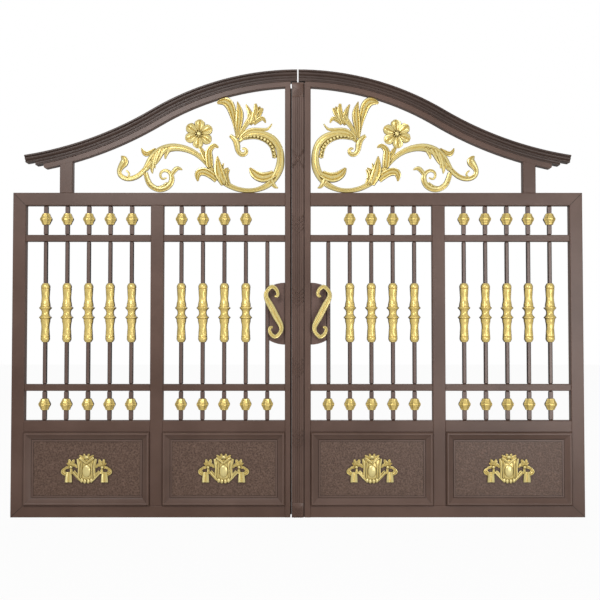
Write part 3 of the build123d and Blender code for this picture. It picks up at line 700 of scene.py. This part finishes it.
# Each ribbon's stations are (x, z, width), with z above the leaf frame that it stands on.
SCROLL_RIBBONS = (
    ([(-529, 123, 41), (-489, 87, 36), (-439, 51, 36), (-381, 25, 33), (-316, 15, 30),
      (-251, 22, 31), (-186, 52, 41), (-143, 101, 51), (-114, 159, 55), (-107, 217, 49),
      (-112, 275, 44), (-136, 325, 49), (-179, 361, 49), (-237, 379, 41), (-294, 379, 40),
      (-341, 360, 33), (-372, 329, 22)], FLUTED, 0),
    ([(-428, 366, 22), (-399, 347, 36), (-383, 311, 43), (-381, 275, 34), (-363, 247, 31),
      (-338, 244, 30), (-321, 264, 25), (-332, 288, 18), (-351, 282, 14)], ROUNDED, 3),
    ([(-375, 347, 25), (-352, 397, 28), (-320, 448, 33), (-287, 484, 49)], FLUTED, 2),
    ([(-367, 350, 18), (-334, 389, 22), (-287, 408, 22), (-222, 403, 22), (-183, 405, 19),
      (-163, 441, 7)], ROUNDED, 4),
    ([(-511, 109, 36), (-547, 159, 36), (-583, 202, 33), (-630, 244, 34), (-684, 275, 40),
      (-749, 292, 46), (-807, 291, 55), (-865, 271, 58), (-912, 231, 55), (-941, 184, 49),
      (-963, 148, 36)], FLUTED, 0),
    ([(-952, 166, 33), (-991, 119, 34), (-1038, 94, 34), (-1082, 90, 31), (-1118, 109, 31),
      (-1129, 141, 30), (-1112, 172, 44), (-1092, 195, 58), (-1095, 222, 46), (-1115, 236, 8)],
     ROUNDED, 1),
    ([(-1080, 96, 14), (-1063, 109, 14), (-1063, 132, 14), (-1082, 144, 11)], ROUNDED, 4),
    ([(-986, 286, 7), (-977, 257, 28), (-944, 244, 41), (-898, 285, 10)], LEAFY, 2),
    ([(-960, 130, 31), (-948, 80, 36), (-923, 44, 38), (-879, 22, 36), (-836, 28, 36),
      (-804, 54, 38), (-791, 94, 36), (-804, 132, 26), (-836, 148, 22), (-865, 134, 18),
      (-868, 105, 16), (-849, 85, 15), (-827, 100, 10)], ROUNDED, 1),
    ([(-801, 109, 25), (-778, 148, 33), (-751, 163, 28), (-728, 148, 7)], ROUNDED, 3),
    ([(-508, 87, 49), (-553, 124, 51), (-605, 143, 55), (-638, 119, 46), (-630, 76, 10)],
     LEAFY, 3),
    ([(-553, 166, 46), (-560, 224, 55), (-563, 264, 43), (-544, 295, 36), (-515, 304, 28),
      (-502, 288, 10)], LEAFY, 4),
    ([(-557, 195, 41), (-587, 235, 44), (-618, 294, 19)], LEAFY, 2),
    ([(-461, 58, 49), (-489, 109, 70), (-504, 166, 60), (-507, 235, 8)], LEAFY, 5),
    ([(-461, 65, 33), (-471, 116, 41), (-457, 145, 38), (-437, 161, 7)], LEAFY, 6),
    ([(-150, 123, 49), (-201, 96, 70), (-251, 105, 64), (-287, 134, 49), (-302, 161, 14)],
     LEAFY, 4),
    ([(-172, 87, 36), (-154, 52, 30), (-136, 35, 18), (-124, 35, 7)], ROUNDED, 3),
    ([(-843, 282, 34), (-865, 246, 34), (-888, 199, 25), (-896, 180, 7)], ROUNDED, 7),
    ([(-894, 259, 34), (-915, 206, 34), (-921, 144, 25), (-915, 124, 7)], ROUNDED, 7),
    ([(-807, 286, 30), (-826, 256, 27), (-838, 224, 16), (-832, 216, 6)], ROUNDED, 7),
    ([(-870, 280, 27), (-896, 224, 30), (-905, 174, 18), (-898, 156, 6)], ROUNDED, 9),
    ([(-510, 572, 16), (-468, 590, 59), (-428, 564, 64), (-408, 494, 46), (-392, 424, 27),
      (-383, 350, 18)], LEAFY, 2),
    ([(-382, 582, 5), (-366, 529, 46), (-368, 474, 57), (-376, 414, 41), (-382, 350, 16)],
     LEAFY, 6),
    ([(-300, 436, 30), (-300, 484, 39), (-308, 529, 30), (-328, 564, 9)], LEAFY, 3),
    ([(-290, 442, 30), (-272, 494, 39), (-262, 536, 34), (-268, 568, 16)], LEAFY, 6),
    ([(-286, 444, 27), (-250, 490, 34), (-232, 524, 32), (-222, 540, 14)], LEAFY, 4),
    ([(-280, 440, 27), (-240, 474, 32), (-212, 474, 25), (-204, 446, 9)], LEAFY, 5),
    ([(-470, 62, 34), (-487, 112, 44), (-480, 160, 26), (-468, 190, 6)], LEAFY, 7),
    ([(-436, 56, 30), (-452, 100, 32), (-444, 132, 20), (-430, 150, 8)], LEAFY, 5),
    ([(-304, 436, 26), (-276, 490, 62), (-246, 530, 34), (-240, 552, 8)], LEAFY, 0),
    ([(-292, 470, 20), (-300, 520, 30), (-326, 560, 8)], LEAFY, 8),
)
# Each bead row: its path of (x, z), its count, its largest radius and how far out it lies.
BEAD_ROWS = (
    (((-341, 352), (-298, 360), (-255, 358), (-215, 344), (-183, 323), (-162, 295),
      (-151, 260), (-146, 226)), 13, 12, 9),
    (((-956, 95), (-941, 67), (-923, 49), (-898, 36), (-870, 36), (-844, 46), (-823, 64)),
     8, 9, 8),
)
CHANNEL_WIDTH = 2.5
CHANNEL_DEPTH = 0.9
BEAD_TAPER = 0.35
BEAD_FLATNESS = 0.8
FLOWER = (-625, 377)
PETALS = 6
PETAL_START = 85
PETAL_WIDTHS = ((12, 16), (34, 46), (60, 72), (80, 62), (92, 20))
SEPAL_REACH = 44
SEPAL_RADII = (16, 6, 24)
BUTTON_RADII = (15, 8, 15)
BUTTON_BEADS = 8
BUTTON_BEAD_REACH = 21


def add_bead_row(bm, path, count, radius, out):
    """Beads that touch in a shallow channel, in even steps along a path of (x, z) points."""
    channel = [(x, FRAME_HEIGHT + z, CHANNEL_WIDTH * radius) for x, z in path]
    add_ribbon(bm, channel, ROUNDED, out - CHANNEL_DEPTH * radius)
    lengths = [hypot(b[0] - a[0], b[1] - a[1]) for a, b in zip(path, path[1:])]
    for place in range(count):
        along = sum(lengths) * place / (count - 1)
        leg = 0
        while leg < len(lengths) - 1 and along > lengths[leg]:
            along -= lengths[leg]
            leg += 1
        share = along / lengths[leg]
        x = path[leg][0] + (path[leg + 1][0] - path[leg][0]) * share
        z = path[leg][1] + (path[leg + 1][1] - path[leg][1]) * share
        size = radius * (1 - BEAD_TAPER * abs(2 * place / (count - 1) - 1))
        add_dome(bm, (x, out, FRAME_HEIGHT + z), (size, size * BEAD_FLATNESS, size),
                 sides=12, rings=7)


def add_flower(bm):
    """Six rounded petals with a raised midrib and sepals between, round a beaded button."""
    x, z = FLOWER[0], FRAME_HEIGHT + FLOWER[1]
    for petal in range(PETALS):
        turn = radians(PETAL_START + petal * 360 / PETALS)
        stations = [(x + reach * cos(turn), z + reach * sin(turn), width)
                    for reach, width in PETAL_WIDTHS]
        add_ribbon(bm, stations, VEINED, 3 * (petal % 2))
        gap = turn + pi / PETALS
        place = (x + SEPAL_REACH * cos(gap), -3, z + SEPAL_REACH * sin(gap))
        add_dome(bm, place, SEPAL_RADII, pi / 2 - gap)
    add_dome(bm, (x, 10, z), BUTTON_RADII)
    for bead in range(BUTTON_BEADS):
        turn = 2 * pi * bead / BUTTON_BEADS
        place = (x + BUTTON_BEAD_REACH * cos(turn), 11, z + BUTTON_BEAD_REACH * sin(turn))
        add_dome(bm, place, (5, 5, 5), sides=8, rings=5)


for side in SIDES:
    bm = bmesh.new()
    for stations, section, lift in SCROLL_RIBBONS:
        placed = [(x, FRAME_HEIGHT + z, width) for x, z, width in stations]
        add_ribbon(bm, placed, section, lift)
    for row in BEAD_ROWS:
        add_bead_row(bm, *row)
    add_flower(bm)
    finish_piece(bm, f"{side}_acanthus_scrollwork", side, pale_gold,
                 (f"{side}_scrollwork",))


# Lock plates: half-round brown boards that fill the grille beside the lock stiles and carry
# the pull handles. Coated like the frame, with painted shade where they meet the stiles.

PLATE_BEVEL_MM = 1.5
plate_coat = powder_coat("brown_plate_coat", "#6A524A", "#765D54", 0.36, hollow_shade="#2A1F1B")
for side in SIDES:
    wear(f"{side}_lock_plate", plate_coat, PLATE_BEVEL_MM)


# Pull handles: gold castings shaped as a long scrolled S, stood off the lock plate on two
# turned posts. The lower half is the upper one turned about the middle.

HANDLE_X = -150
HANDLE_LEVEL = 1276.5
HANDLE_LIFT = 62
HALF_HANDLE = (
    (0, 0, 42), (16, -32, 42), (34, -62, 38), (47, -90, 31), (49, -114, 26), (36, -138, 25),
    (10, -161, 26), (-18, -140, 24), (-28, -112, 21), (-20, -93, 19), (-6, -97, 12),
)
HANDLE_POSTS = ((40, -76), (-18, 36))
POST_RINGS = ((11, 15), (11, 18), (8, 22), (7, 40), (9, 56), (9, 64))
POST_STEPS = 16

for side in SIDES:
    bm = bmesh.new()
    for flip in (-1, 1):
        stations = [(HANDLE_X + flip * x, HANDLE_LEVEL + flip * z, width)
                    for x, z, width in HALF_HANDLE]
        add_ribbon(bm, stations, FLUTED, HANDLE_LIFT)
    for x, z in HANDLE_POSTS:
        made = spin_rings(bm, POST_RINGS, POST_STEPS)
        bmesh.ops.rotate(bm, cent=(0, 0, 0), matrix=Matrix.Rotation(-pi / 2, 3, "X"), verts=made)
        bmesh.ops.translate(bm, vec=(HANDLE_X + x, 0, HANDLE_LEVEL + z), verts=made)
    finish_piece(bm, f"{side}_scrolled_pull", side, pale_gold, (f"{side}_handle",))


# Centre strip: a fluted cover strip on the right leaf that laps the meeting of the leaves,
# with carved feathers and a cross along it and woven blocks at both ends. Coated brown.

wear("centre_strip", brown_coat, EDGE_BEVEL_MM)
STRIP_FACE = 38
STRIP_HALF = 34
STRIP_TOP = 2721
FEATHER_LEVELS = (1822, 1365, 924, 481)
FEATHER_ROWS = 4
FEATHER_PITCH = 26
FEATHER_SLANT = 34
CROSS_LEVEL = 2239
MOTIF_HALF = 52
CROSS_SPREAD = 7
CROSS_STUD = (11, 5, 11)
WOVEN_BLOCKS = ((STRIP_TOP - 92, STRIP_TOP - 8), (8, 92))
WEAVE_PITCH = 12
WEAVE_SLANT = 22
WEAVE_START = 6
WEAVE_MARGIN = 30


def add_rib(bm, start, end, width=5.0, rise=3.0):
    """A raised line on the strip's face, from one (x, z) to another."""
    add_bar_between(bm, start, end, width, STRIP_FACE - 2, STRIP_FACE + rise, bevel=1.2)


bm = bmesh.new()
for level in FEATHER_LEVELS:
    for row in range(FEATHER_ROWS):
        foot = level - MOTIF_HALF + row * FEATHER_PITCH
        for flip in (-1, 1):
            add_rib(bm, (0, foot), (flip * STRIP_HALF, foot + FEATHER_SLANT))
for flip in (-1, 1):
    for spread in (-CROSS_SPREAD, CROSS_SPREAD):
        middle = CROSS_LEVEL + spread
        add_rib(bm, (-STRIP_HALF * flip, middle - MOTIF_HALF),
                (STRIP_HALF * flip, middle + MOTIF_HALF))
add_dome(bm, (0, STRIP_FACE, CROSS_LEVEL), CROSS_STUD)
for low, high in WOVEN_BLOCKS:
    add_block(bm, (-STRIP_HALF, STRIP_FACE - 5, low), (STRIP_HALF, STRIP_FACE + 1, high), 1.5)
    for row in range(int((high - low - WEAVE_MARGIN) / WEAVE_PITCH)):
        foot = low + WEAVE_START + row * WEAVE_PITCH
        for flip in (-1, 1):
            add_rib(bm, (0, foot), (flip * (STRIP_HALF - 3), foot + WEAVE_SLANT), 6, 4)
finish_piece(bm, "centre_strip_carving", "left", brown_coat, body="right_leaf")


# Meeting seal: a soft rubber lip on the left lock stile that closes the gap behind the strip.
# Black and nearly matt, as rubber is; its black is also painted shadow, standing in for the shade
# in the gap so that the gap reads as a dark line.

SEAL_LOW = (-46.2, -28, 10)
SEAL_HIGH = (-38.8, -18, 2696)
SEAL_BEVEL = 1.5
seal_rubber_and_gap_shadow = powder_coat("black_seal_rubber_and_gap_shadow", "#1C1716", "#241D1B", 0.7)
bm = bmesh.new()
add_block(bm, SEAL_LOW, SEAL_HIGH, SEAL_BEVEL)
finish_piece(bm, "meeting_seal_and_gap_shadow", "left", seal_rubber_and_gap_shadow)


# Hinges: welded steel plates on the pillars with pins, and straps on the leaves, coated with
# the gate. Each plate is held by four zinc-plated hexagon bolts, a dull pale grey.

hinge_coat = powder_coat("brown_hinge_coat", "#4F403A", "#5C4B44", 0.45)
for side in SIDES:
    wear(f"{side}_wall_hinges", hinge_coat)
    wear(f"{side}_hinge_straps", hinge_coat)

PLATE_THICKNESS = 8
# Each part of a bolt from the plate up: radius, thickness and sides.
BOLT_PARTS = ((10.5, 2, 24), (9.8, 6.5, 6))


def add_bolt(bm, place, inward):
    """A hexagon head on its washer, standing off a plate towards the opening."""
    height = 0
    for radius, thickness, sides in BOLT_PARTS:
        made = bmesh.ops.create_cone(bm, segments=sides, cap_ends=True, radius1=radius * MM,
                                     radius2=radius * MM, depth=thickness * MM)["verts"]
        bmesh.ops.rotate(bm, cent=(0, 0, 0), matrix=Matrix.Rotation(pi / 2, 3, "Y"), verts=made)
        off = (PLATE_THICKNESS + height + thickness / 2) * MM
        bmesh.ops.translate(bm, vec=place + Vector((inward * off, 0, 0)), verts=made)
        height += thickness


zinc = powder_coat("zinc_plated_steel", "#8E8F8E", "#A6A7A5", 0.4)
bm = bmesh.new()
for mount in frame["record"]["mounts"]:
    if mount["kind"] == "bolt_pattern":
        inward = 1 if mount["pos_m"][0] < GATE_MIDDLE else -1
        half_y = mount["dims"]["spacing_x_mm"] * MM / 2
        half_z = mount["dims"]["spacing_y_mm"] * MM / 2
        for y in (-half_y, half_y):
            for z in (-half_z, half_z):
                add_bolt(bm, Vector(mount["pos_m"]) + Vector((0, y, z)), inward)
bmesh.ops.recalc_face_normals(bm, faces=bm.faces)
plate_bolts = add_object(bm, "hinge_plate_bolts", zinc)
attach(plate_bolts, "wall_hinges")


# Studio: a white floor 40 mm under the leaves, even white light from all round, two soft
# lamps in front and one behind, and the camera where the photograph was taken.

FLOOR_LEVEL = LEAF_FOOT - 0.04
FLOOR_HALF = 30.0
FLOOR_GLOW = 0.96
SKY_STRENGTH = 0.29
# Each lamp: place from the gate's middle, height it looks at, diameter in metres and watts.
LAMPS = {
    "key": ((-2.0, -5.5, 4.2), 0.9, 2.5, 165),
    "fill": ((3.0, -5.5, 1.0), 0.4, 3.0, 100),
    "back": ((1.0, 6.0, 5.0), 1.0, 3.0, 120),
}
LENS_MM = 58.62
SENSOR_MM = 36
EYE = (0.005, -6.134, 1.148)
EYE_PITCH = 1.90
EYE_TURN = -0.08

bm = bmesh.new()
bmesh.ops.create_grid(bm, x_segments=1, y_segments=1, size=FLOOR_HALF)
bmesh.ops.translate(bm, vec=(GATE_MIDDLE, 0, FLOOR_LEVEL), verts=bm.verts)
floor_white, tree, output, place = new_material("white_studio_floor")
matt = add_node(tree, "BsdfDiffuse", inputs={"Color": srgb("#D8D6D4")})
glow = add_node(tree, "Emission", inputs={"Color": srgb("#FFFFFF"), "Strength": 1.0})
rays = add_node(tree, "LightPath")
seen = add_node(tree, "Math", {"operation": "MULTIPLY"}, {
    0: rays.outputs["Is Camera Ray"], 1: FLOOR_GLOW})
shader = add_node(tree, "MixShader", inputs={
    0: seen.outputs[0], 1: matt.outputs["BSDF"], 2: glow.outputs["Emission"]})
tree.links.new(shader.outputs["Shader"], output.inputs["Surface"])
floor = add_object(bm, "floor", floor_white)

world = bpy.data.worlds.new("studio")
bpy.context.scene.world = world
world.use_nodes = True
tree = world.node_tree
tree.nodes.clear()
path = add_node(tree, "LightPath")
seen = add_node(tree, "Math", {"operation": "MAXIMUM"}, {
    0: path.outputs["Is Camera Ray"], 1: SKY_STRENGTH})
sky = add_node(tree, "Background", inputs={"Color": srgb("#FFFFFF"), "Strength": seen.outputs[0]})
add_node(tree, "OutputWorld", inputs={"Surface": sky.outputs["Background"]})

for name, (place, target_height, size, power) in LAMPS.items():
    data = bpy.data.lights.new(name, "AREA")
    data.shape = "DISK"
    data.size = size
    data.energy = power
    lamp = bpy.data.objects.new(name, data)
    lamp.location = Vector((GATE_MIDDLE, 0, 0)) + Vector(place)
    aim = Vector((GATE_MIDDLE, 0, target_height)) - lamp.location
    lamp.rotation_euler = aim.to_track_quat("-Z", "Y").to_euler()
    bpy.context.scene.collection.objects.link(lamp)

camera_data = bpy.data.cameras.new("camera")
camera_data.lens = LENS_MM
camera_data.sensor_width = SENSOR_MM
camera = bpy.data.objects.new("camera", camera_data)
camera.location = (GATE_MIDDLE + EYE[0], LEAF_PLANE + EYE[1], LEAF_FOOT + EYE[2])
camera.rotation_euler = (radians(90 + EYE_PITCH), 0, radians(EYE_TURN))
bpy.context.scene.collection.objects.link(camera)
bpy.context.scene.camera = camera
bpy.context.scene.view_settings.view_transform = "Standard"

for section in SECTIONS:
    bpy.data.objects.remove(section)
